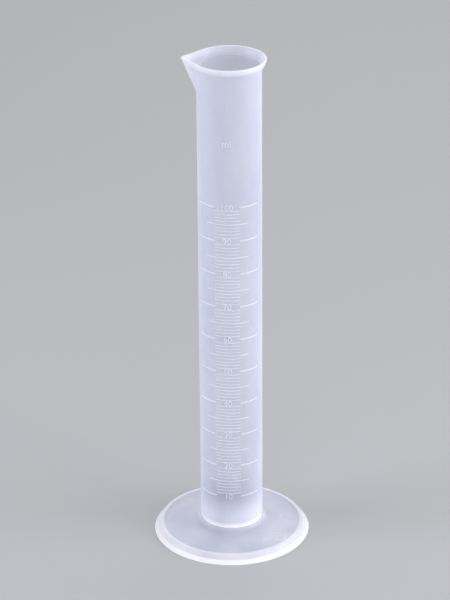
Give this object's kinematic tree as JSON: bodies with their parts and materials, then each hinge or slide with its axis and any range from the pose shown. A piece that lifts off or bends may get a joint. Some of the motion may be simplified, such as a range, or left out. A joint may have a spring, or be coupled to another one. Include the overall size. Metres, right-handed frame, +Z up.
{
  "type": "graduated cylinder",
  "caption": "Tall narrow measuring cylinder in translucent plastic with a raised volume scale, flared lip, pouring spout and round foot.",
  "frame": {"origin": "on the tube's axis, in the plane that the foot rests on", "axes": "+Z up the tube's axis to the mouth; the scale faces -Y; the spout points to -X"},
  "size_m": [0.0764, 0.0764, 0.2475],
  "materials": {
    "tube_plastic": "translucent moulded polypropylene, satin",
    "foot_plastic": "translucent moulded polypropylene, smooth"
  },
  "bodies": {
    "root": {"graduated_tube": "tube_plastic", "foot": "foot_plastic"}
  },
  "joints": []
}
